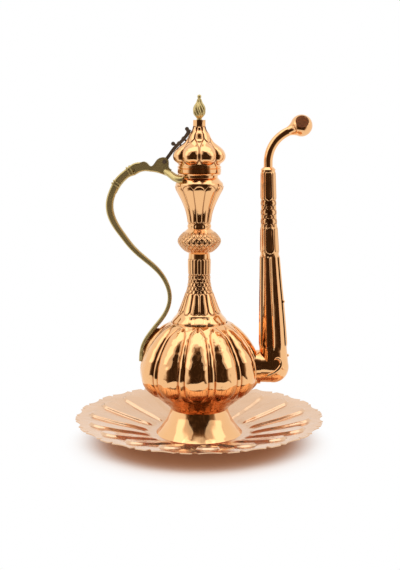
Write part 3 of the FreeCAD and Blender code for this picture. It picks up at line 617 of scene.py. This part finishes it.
def make_knop(material):
    heights, turns, turn, z = grid_on("neck_knop", KNOP_GRID)
    plain = radius_curve("neck_knop", FRONT, KNOP_SAMPLES)(heights)
    lean = (z - (heights[0] + heights[-1]) / 2) / HATCH_PITCH
    place, width, tone = HATCH_SHADE
    inside = rise(z - HATCH_BAND[0], HATCH_FADE) * rise(HATCH_BAND[1] - z, HATCH_FADE)
    lines = np.zeros_like(z)
    line_dirt_and_painted_reflection = np.zeros_like(z)
    for side in (1, -1):
        away = np.abs(((turn - FRONT) / 360 * HATCH_COUNT + side * lean) % 1 - 0.5)
        lines = np.maximum(lines, ridge(away, HATCH_LINE))
        line_dirt_and_painted_reflection += ridge(away - place, width) * inside * tone
    relief = (HATCH_RISE * lines - HATCH_SINK) * inside
    rings = shell_rings(0, plain, relief, heights, turns)
    add_shell("knop_hatched", rings, line_dirt_and_painted_reflection, material, "pot", "neck_knop")


def trumpet_relief(turn, z, radius):
    """Panels up the trumpet and over the collar's bead, above a ring of small bumps."""
    panels, cut = panel_band(turn, z, radius, PANELS, PANEL_BAND, PANEL_STYLE)
    wave = 1 - BUMP_WAVE + BUMP_WAVE * np.cos(2 * np.pi * cell(turn, 2 * PANELS))
    bumps = BUMP_RISE * ridge(z - span("upper_neck")[0] - BUMP_LEVEL, BUMP_WIDTH) * wave
    return panels + bumps, cut


def make_trumpet(material):
    heights, turns, turn, z = grid_on("upper_neck", TRUMPET_GRID)
    plain = radius_curve("upper_neck", FRONT, TRUMPET_SAMPLES)(heights)
    relief, line_dirt_and_painted_reflection = trumpet_relief(turn, z, plain[:, None])
    rings = shell_rings(0, plain, relief, heights, turns)
    add_shell("trumpet_panelled", rings, line_dirt_and_painted_reflection, material, "pot", "upper_neck")


def make_collar(material):
    low, high = span("mouth_collar")
    heights, turns, turn, z = grid_on("mouth_collar", COLLAR_GRID, COLLAR_MARGIN)
    plain = outer_radius("mouth_collar", FRONT, heights)
    relief, cut = trumpet_relief(turn, z, plain[:, None])
    outer = rings_about(0, plain[:, None] + relief, heights, turns)
    throat = [(THROAT_RADIUS, high), (THROAT_RADIUS, low + THROAT_FOOT * (high - low)),
              (plain[0] - WALL, low)]
    inner = np.concatenate([rings_about(0, np.full((1, len(turns)), r), [h], turns) for r, h in throat])
    line_dirt_and_painted_reflection = np.concatenate([cut, np.zeros((len(throat), len(turns)))])
    mesh = ring_mesh("collar_beaded", np.concatenate([outer, inner]), line_dirt_and_painted_reflection, True)
    add_piece("collar_beaded", mesh, material, "pot", "copper", "mouth_collar")


# Lid

def make_dome(material):
    heights, turns, turn, z = grid_on("lid_dome", DOME_GRID)
    strip = radius_curve("lid_dome", FRONT, LOBE_SAMPLES)(heights)
    crest = radius_curve("lid_dome", FRONT + 180 / DOME_LOBES, LOBE_SAMPLES)(heights)
    radius = strip[:, None]
    low, high = DOME_LOBE_BAND
    over = np.clip((z - high + DOME_TOP_ROUND) / DOME_TOP_ROUND, 0, 1)
    half = DOME_LOBE_SHARE * lobe_end(low + DOME_FOOT_ROUND - z, DOME_FOOT_ROUND)
    half = half * (1 - over ** DOME_TOP_POWER)
    away = np.abs(cell(turn, DOME_LOBES, 0.5)) * 2
    share = away / np.maximum(half, TINY)
    lobe = crowned(share, DOME_CROWN_POWER) * np.maximum(crest - strip, 0)[:, None]
    edge = (half - away) * np.pi / DOME_LOBES * radius
    line_place, line_width = DOME_LINE
    cut = ridge(edge + line_place, line_width) * rise(half, DOME_FADE)
    panels, panel_cut = panel_band(turn, z, radius, DOME_LOBES, DOME_PANEL_BAND, DOME_PANEL_STYLE)
    rings = shell_rings(0, strip, lobe + panels - DOME_CUT * cut, heights, turns)
    add_shell("dome_lobed", rings, np.maximum(cut, panel_cut), material, "lid", "lid_dome")


# Spout

def make_spout(material):
    heights, turns, turn, z = grid_on("spout_body", SPOUT_GRID)
    knots = knots_up("spout_body", SPOUT_SAMPLES)
    far_side = outer_hits("spout_body", 0, knots, SPOUT_INSIDE)[:, 0]
    near_side = outer_hits("spout_body", 180, knots, SPOUT_INSIDE)[:, 0]
    centre = curve_through(knots, (far_side + near_side) / 2)(heights)
    plain = curve_through(knots, (far_side - near_side) / 2)(heights)
    radius = plain[:, None]
    top, top_cut = framed_band(turn, z, radius, SPOUT_PANELS, SPOUT_TOP_PANELS)
    lower, lower_cut = framed_band(turn, z, radius, SPOUT_PANELS, SPOUT_LOW_PANELS)
    scales, scale_cut = scale_band(turn, z, SPOUT_PANELS, SPOUT_SCALES, SPOUT_SCALE_ROWS)
    from_ridge = np.abs(cell(turn, SPOUT_FLUTE_COUNT)) * 2
    foot_fade, top_fade = SPOUT_FLUTE_FADES
    fluted = rise(z - SPOUT_FLUTES[0], foot_fade) * rise(SPOUT_FLUTES[1] - z, top_fade)
    rib_rise, rib_width = SPOUT_RIB
    rib = rib_rise * ridge(from_ridge * np.pi * radius / SPOUT_FLUTE_COUNT, rib_width)
    flutes = (rib - SPOUT_FLUTE_DEPTH * (1 - (1 - from_ridge) ** 2)) * fluted
    line_dirt_and_painted_reflection = np.maximum(np.maximum(top_cut, lower_cut), scale_cut)
    rings = shell_rings(centre, plain, top + lower + flutes + scales, heights, turns)
    add_shell("spout_chased", rings, line_dirt_and_painted_reflection, material, "pot", "spout_body")


def make_heel_scrolls(material):
    """The chased leaf on both cheeks of the spout's heel: a hooked rib and a lip that leaves it."""
    for number, path in enumerate(HEEL_SCROLLS):
        x, z, lean, ends = smooth_path(path, SCROLL_STEPS, SCROLL_TAPER)
        reach = front_reach(("spout_stub", "spout_heel", "spout_body"), x, z)
        for side, y in enumerate((reach, -reach)):
            rings = path_rings(x, y, z, lean, SCROLL_RISE * ends, SCROLL_HALF_WIDTH * ends)
            add_trim(f"heel_scroll_{2 * number + side + 1}", rings, False, material, "copper")


# Handle

def make_tail_solder(material):
    """Solder that fills the thin wedge between the handle's tail and the belly."""
    heights = np.linspace(*TAIL_SOLDER, TAIL_SOLDER_STEPS)
    tail = outer_hits("handle", 180, heights, 0)[:, 0] + TAIL_DEPTH
    seat = -radius_curve("belly", BELLY_STRIP, LOBE_SAMPLES)(heights) + WALL / 2
    corners = [(tail, -1), (seat, -1), (seat, 1), (tail, 1)]
    rings = np.stack([np.stack([x, np.full_like(x, side * TAIL_SOLDER_HALF), heights], axis=-1)
                      for x, side in corners], axis=1)
    add_trim("tail_solder", rings, False, material, "copper")


def make_handle_bead(material):
    """The rounded bead along the inner side of the handle's bow and the underside of its head."""
    x, z, lean, ends = smooth_path(BEAD_PATH, BEAD_STEPS, BEAD_TAPER)
    wide = np.interp(x, BEAD_WIDENS, BEAD_HALF_WIDTHS) * ends
    deep = np.interp(x, BEAD_DEEPENS, BEAD_HALF_DEPTHS) * ends
    rings = path_rings(x, np.zeros_like(x), z, lean, wide, deep)
    add_trim("handle_bead", rings, False, material, "brass")


def make_handle_rings(material):
    """Two pairs of rounded rings over the grip's raised bands."""
    around = np.radians(np.arange(0, 360, RING_STEP))
    across, outward = np.cos(around), np.sin(around)
    square = np.abs(across) ** RING_SQUARENESS + np.abs(outward) ** RING_SQUARENESS
    square = square ** (-1 / RING_SQUARENESS)
    tube = np.radians(np.arange(0, 360, RING_TUBE_STEP))[:, None]
    wide = (RING_HALF_WIDTH + RING_TUBE * np.cos(tube)) * across * square
    deep = (RING_HALF_DEPTH + RING_TUBE * np.cos(tube)) * outward * square
    for pair, (x, z, lean) in enumerate(RING_PAIRS):
        lean = math.radians(lean)
        for place, side in enumerate((-1, 1), 1):
            along = np.broadcast_to(side * RING_SPACING / 2 + RING_TUBE * np.sin(tube), deep.shape)
            rings = np.stack([x + math.cos(lean) * deep - math.sin(lean) * along, wide,
                              z + math.sin(lean) * deep + math.cos(lean) * along], axis=-1)
            add_trim(f"handle_ring_{2 * pair + place}", rings, True, material, "brass")


# Tray

def tray_edge(turns, radius):
    """The snipped edge as a radius at each bearing: tongue, notch, point, long scallop."""
    place = np.abs((turns - FLUTE_TURN) / 360 * TRAY_FLUTES % 1 - 0.5)
    point = EDGE_CORNERS[-1]
    saw = np.interp(place, EDGE_CORNERS, [0, 0, TOOTH_DEPTH, 0])
    hollow = SCALLOP_DEPTH * (1 - ((0.5 - place) / (0.5 - point)) ** 2)
    return radius - np.where(place > point, hollow, saw)


def make_tray(material):
    high = span("tray")[1]
    edge_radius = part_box("tray")[1][0] / MM
    turns = circle(TRAY_COLUMNS)
    dish = curve_through(np.array([TRAY_WELL, 0.5 * (TRAY_WELL + FLUTE_END), FLUTE_END, edge_radius]),
                         (high - TRAY_SHEET) * np.array(DISH_LEVELS))
    swell = curve_through(*np.array(FLUTE_SWELL).T)
    inner = np.linspace(TRAY_CENTRE, TRAY_WELL, TRAY_WELL_ROWS)
    outer = np.linspace(0, 1, TRAY_RIM_ROWS)[1:]
    edge = tray_edge(turns, edge_radius)
    radius = np.concatenate([np.broadcast_to(inner[:, None], (TRAY_WELL_ROWS, TRAY_COLUMNS)),
                             TRAY_WELL + outer[:, None] * (edge - TRAY_WELL)[None, :]])
    run = (radius - TRAY_WELL) / (FLUTE_END - TRAY_WELL)
    wide = FLUTE_SHARE * np.pi / TRAY_FLUTES
    end_half = wide * FLUTE_END / (1 + wide)
    half = np.minimum(wide * radius, end_half)
    phase = np.abs(((turns - FLUTE_TURN) / 360 * TRAY_FLUTES + 0.5) % 1 - 0.5) * 2 / FLUTE_SHARE
    across = phase[None, :] * half
    inside = half - np.hypot(across, np.maximum(radius - FLUTE_END + end_half, 0))
    flute = rise(inside, FLUTE_WALL) * swell(run)
    sheet = np.where(radius > TRAY_WELL, dish(radius), 0) + FLUTE_RISE * flute
    angle = np.radians(turns)[None, :]
    flat = [radius * np.cos(angle), radius * np.sin(angle)]
    top = np.stack(flat + [sheet + TRAY_SHEET], axis=-1)
    under = np.stack(flat + [sheet], axis=-1)
    rings = np.concatenate([top, under[::-1]])
    mesh = ring_mesh("tray_fluted", rings, np.zeros(rings.shape[:2]), False)
    add_piece("tray_fluted", mesh, material, "tray", "copper", "tray")


# Materials

def new_material(name):
    material = bpy.data.materials.new(name)
    material.use_nodes = True
    return material, material.node_tree.nodes, material.node_tree.links


def opaque(colour):
    return (*colour, 1.0)


def fade(nodes, links, value, low, high):
    """A soft step from 0 to 1 as the value goes from low to high."""
    node = nodes.new("ShaderNodeMapRange")
    node.interpolation_type = "SMOOTHSTEP"
    node.inputs["From Min"].default_value = low
    node.inputs["From Max"].default_value = high
    links.new(value, node.inputs["Value"])
    return node.outputs["Result"]


def distance_to(nodes, links, place, point):
    node = nodes.new("ShaderNodeVectorMath")
    node.operation = "DISTANCE"
    links.new(place, node.inputs[0])
    node.inputs[1].default_value = point
    return node.outputs["Value"]


def math_node(nodes, links, operation, *values):
    node = nodes.new("ShaderNodeMath")
    node.operation = operation
    for socket, value in zip(node.inputs, values):
        if isinstance(value, float):
            socket.default_value = value
        else:
            links.new(value, socket)
    return node.outputs[0]


def colour_mix(nodes, links, factor, first, second):
    """A mix of two colours, each a tuple or another node's output."""
    mix = nodes.new("ShaderNodeMix")
    mix.data_type = "RGBA"
    links.new(factor, mix.inputs["Factor"])
    for socket, value in ((mix.inputs["A"], first), (mix.inputs["B"], second)):
        if isinstance(value, tuple):
            socket.default_value = opaque(value)
        else:
            links.new(value, socket)
    return mix.outputs["Result"]


def metal(name, hollow=None):
    """Metal with uneven tone, smudges, dents, dirt in its lines and, where a mesh's mask has it, painted
    reflection; a hollow ball is matte inside.
    """
    colour, shade, roughness, dent_size, dent_depth, metallic = METALS[name]
    material, nodes, links = new_material(name)
    shader = nodes["Principled BSDF"]
    shader.inputs["Metallic"].default_value = metallic
    place = nodes.new("ShaderNodeTexCoord").outputs["Object"]

    def noise(scale, detail):
        texture = nodes.new("ShaderNodeTexNoise")
        texture.inputs["Scale"].default_value = scale
        texture.inputs["Detail"].default_value = detail
        links.new(place, texture.inputs["Vector"])
        return texture.outputs["Fac"]

    def remap(value, low, high):
        ramp = nodes.new("ShaderNodeMapRange")
        links.new(value, ramp.inputs["Value"])
        ramp.inputs["From Min"].default_value = NOISE_RANGE[0]
        ramp.inputs["From Max"].default_value = NOISE_RANGE[1]
        ramp.inputs["To Min"].default_value = low
        ramp.inputs["To Max"].default_value = high
        return ramp.outputs["Result"]

    line_dirt_and_painted_reflection = nodes.new("ShaderNodeAttribute")
    line_dirt_and_painted_reflection.attribute_name = "line_dirt_and_painted_reflection"
    darker = tuple(TONE_DARKER * c for c in colour)
    toned = colour_mix(nodes, links, remap(noise(*TONE_NOISE), 0.0, TONE_SHARE), colour, darker)
    # The mesh's mask mixes in the second colour: dirt in chased lines, and low on the belly a painted
    # reflection of the tray
    toned = colour_mix(nodes, links, line_dirt_and_painted_reflection.outputs["Fac"], toned, shade)
    if hollow:
        centre, reach = hollow
        within = math_node(nodes, links, "LESS_THAN", distance_to(nodes, links, place, centre), reach)
        toned = colour_mix(nodes, links, within, toned, shade)
        links.new(math_node(nodes, links, "SUBTRACT", metallic, within), shader.inputs["Metallic"])
    links.new(toned, shader.inputs["Base Color"])
    smudges = remap(noise(*SMUDGE_NOISE), *(share * roughness for share in SMUDGE_ROUGHNESS))
    links.new(smudges, shader.inputs["Roughness"])
    dents = nodes.new("ShaderNodeBump")
    dents.inputs["Strength"].default_value = DENT_STRENGTH
    dents.inputs["Distance"].default_value = dent_depth
    links.new(noise(1 / dent_size, 0), dents.inputs["Height"])
    links.new(dents.outputs["Normal"], shader.inputs["Normal"])
    return material


# Studio

def seen_ray(nodes, links):
    """1 for rays from the camera, reflections and transmission."""
    path = nodes.new("ShaderNodeLightPath")
    result = path.outputs["Is Camera Ray"]
    for name in ("Is Glossy Ray", "Is Transmission Ray"):
        result = math_node(nodes, links, "MAXIMUM", result, path.outputs[name])
    return result


def white_floor_painted_shadow():
    """White where the camera or a reflection sees it far out; nearer the set, a pale surface with a painted
    shadow round the tray and a painted warm bounce glow.
    """
    material, nodes, links = new_material("floor_white_painted_shadow")
    place = nodes.new("ShaderNodeTexCoord").outputs["Object"]
    distance = distance_to(nodes, links, place, SHADE_CENTRE)
    # Painted shadow: the floor is darker and warmer near the tray, fading to the pale colour further out
    painted_shadow_fade = fade(nodes, links, distance, *FLOOR_PAINTED_SHADOW_FADE)
    shader = nodes["Principled BSDF"]
    shader.inputs["Roughness"].default_value = FLOOR_ROUGHNESS
    shader.inputs["Specular IOR Level"].default_value = 0.0
    links.new(colour_mix(nodes, links, painted_shadow_fade, FLOOR_PAINTED_SHADOW, FLOOR_PALE), shader.inputs["Base Color"])
    # Painted bounce light: the floor glows warm
    shader.inputs["Emission Color"].default_value = opaque(FLOOR_PAINTED_BOUNCE)
    shader.inputs["Emission Strength"].default_value = 1.0
    far_out = fade(nodes, links, distance, *FLOOR_WHITE)
    glow = nodes.new("ShaderNodeEmission")
    mix = nodes.new("ShaderNodeMixShader")
    links.new(math_node(nodes, links, "MULTIPLY", far_out, seen_ray(nodes, links)), mix.inputs["Fac"])
    links.new(shader.outputs["BSDF"], mix.inputs[1])
    links.new(glow.outputs["Emission"], mix.inputs[2])
    links.new(mix.outputs["Shader"], nodes["Material Output"].inputs["Surface"])
    return material


def room_material():
    """Nearly black low in the middle, brown further out, and as white as the studio at its edges."""
    material, nodes, links = new_material("room_dark")
    nodes.remove(nodes["Principled BSDF"])
    place = nodes.new("ShaderNodeTexCoord").outputs["Object"]
    parts = nodes.new("ShaderNodeSeparateXYZ")
    links.new(place, parts.inputs["Vector"])
    aside = math_node(nodes, links, "DIVIDE", parts.outputs["X"], parts.outputs["Y"])
    aside = math_node(nodes, links, "ABSOLUTE", aside)
    edge = math_node(nodes, links, "MAXIMUM", fade(nodes, links, aside, *ROOM_SIDE_FADE),
                     fade(nodes, links, parts.outputs["Z"], *ROOM_TOP_FADE))
    clutter = nodes.new("ShaderNodeTexNoise")
    clutter.inputs["Scale"].default_value = ROOM_CLUTTER_SCALE
    links.new(place, clutter.inputs["Vector"])
    uneven = math_node(nodes, links, "SUBTRACT", clutter.outputs["Fac"], 0.5)
    uneven = math_node(nodes, links, "MULTIPLY", uneven, ROOM_CLUTTER)
    ramp = nodes.new("ShaderNodeValToRGB")
    links.new(math_node(nodes, links, "ADD", edge, uneven), ramp.inputs["Fac"])
    ramp.color_ramp.elements[0].color = opaque(ROOM_DARK)
    ramp.color_ramp.elements[1].color = opaque(WHITE)
    ramp.color_ramp.elements.new(ROOM_BROWN_PLACE).color = opaque(ROOM_BROWN)
    glow = nodes.new("ShaderNodeEmission")
    links.new(ramp.outputs["Color"], glow.inputs["Color"])
    links.new(glow.outputs["Emission"], nodes["Material Output"].inputs["Surface"])
    return material


def stage_mesh(name, points, faces, material):
    mesh = bpy.data.meshes.new(name)
    mesh.from_pydata(points, [], faces)
    mesh.materials.append(material)
    piece = bpy.data.objects.new(name, mesh)
    bpy.context.scene.collection.objects.link(piece)
    return piece


def make_stage():
    """A white floor with a painted shadow near the set, and the dark room behind the camera, which only
    reflections see.
    """
    corners = [(x * FLOOR_HALF, y * FLOOR_HALF, 0) for x, y in ((-1, -1), (1, -1), (1, 1), (-1, 1))]
    floor = stage_mesh("floor", corners, [(0, 1, 2, 3)], white_floor_painted_shadow())
    floor.location.z = -FLOOR_DROP
    turns = np.radians(np.linspace(FRONT - ROOM_SPREAD, FRONT + ROOM_SPREAD, ROOM_STEPS))
    outline = [(ROOM_NEAR, ROOM_LOW), (ROOM_FAR, ROOM_LOW), (ROOM_FAR, ROOM_HEIGHT)]
    points = [(r * math.cos(t), r * math.sin(t), z) for r, z in outline for t in turns]
    faces = [(row + i, row + i + 1, row + i + 1 + ROOM_STEPS, row + i + ROOM_STEPS)
             for row in (0, ROOM_STEPS) for i in range(ROOM_STEPS - 1)]
    room = stage_mesh("dark_room", points, faces, room_material())
    room.visible_camera = False
    room.visible_diffuse = False
    room.visible_shadow = False


def make_world():
    """White to the camera and in reflections, softer as a light."""
    world = bpy.data.worlds.new("studio")
    bpy.context.scene.world = world
    world.use_nodes = True
    nodes, links = world.node_tree.nodes, world.node_tree.links
    background = nodes["Background"]
    strength = nodes.new("ShaderNodeMapRange")
    strength.inputs["To Min"].default_value = WORLD_LIGHT
    strength.inputs["To Max"].default_value = 1.0
    links.new(seen_ray(nodes, links), strength.inputs["Value"])
    links.new(strength.outputs["Result"], background.inputs["Strength"])
    background.inputs["Color"].default_value = opaque(WHITE)


def area_lamp(name, place, target, size, power):
    data = bpy.data.lights.new(name, "AREA")
    data.shape = "RECTANGLE"
    data.size, data.size_y = size
    data.energy = power
    lamp = bpy.data.objects.new(name, data)
    lamp.location = place
    lamp.rotation_euler = (Vector(target) - Vector(place)).to_track_quat("-Z", "Y").to_euler()
    bpy.context.scene.collection.objects.link(lamp)


def make_camera():
    data = bpy.data.cameras.new("camera")
    data.sensor_width = SENSOR
    data.lens = SENSOR * FOCAL_PIXELS / IMAGE_HEIGHT
    data.shift_y = -SHIFT_PIXELS / IMAGE_HEIGHT
    camera = bpy.data.objects.new("camera", data)
    camera.location = Vector((CAMERA_SIDE, -CAMERA_DISTANCE, CAMERA_HEIGHT)) * MM
    camera.rotation_euler = (math.radians(90 - CAMERA_TILT), 0, 0)
    bpy.context.scene.collection.objects.link(camera)
    bpy.context.scene.camera = camera


def main():
    copper = metal("copper_polished")
    brass = metal("brass_antique")
    finishes = {"copper": copper, "brass": brass, "dark_bronze": metal("bronze_dark")}
    for entry in frame["record"]["subparts"]:
        node = frame["nodes"][entry["node"]]
        node.data.materials.clear()
        node.data.materials.append(finishes[entry["material_slot"]])
    frame["nodes"]["spout_mouth"].data.materials[0] = metal("copper_mouth", (BALL_CENTRE, BALL_INSIDE))
    make_tray(metal("copper_tray"))
    make_belly(metal("copper_hammered"))
    for make in (make_lower_neck, make_knop, make_trumpet, make_collar, make_dome, make_spout,
                 make_heel_scrolls, make_tail_solder):
        make(copper)
    make_handle_bead(brass)
    make_handle_rings(brass)
    make_stage()
    make_world()
    for lamp in LAMPS:
        area_lamp(*lamp)
    make_camera()
    bpy.context.scene.view_settings.view_transform = "Standard"


main()
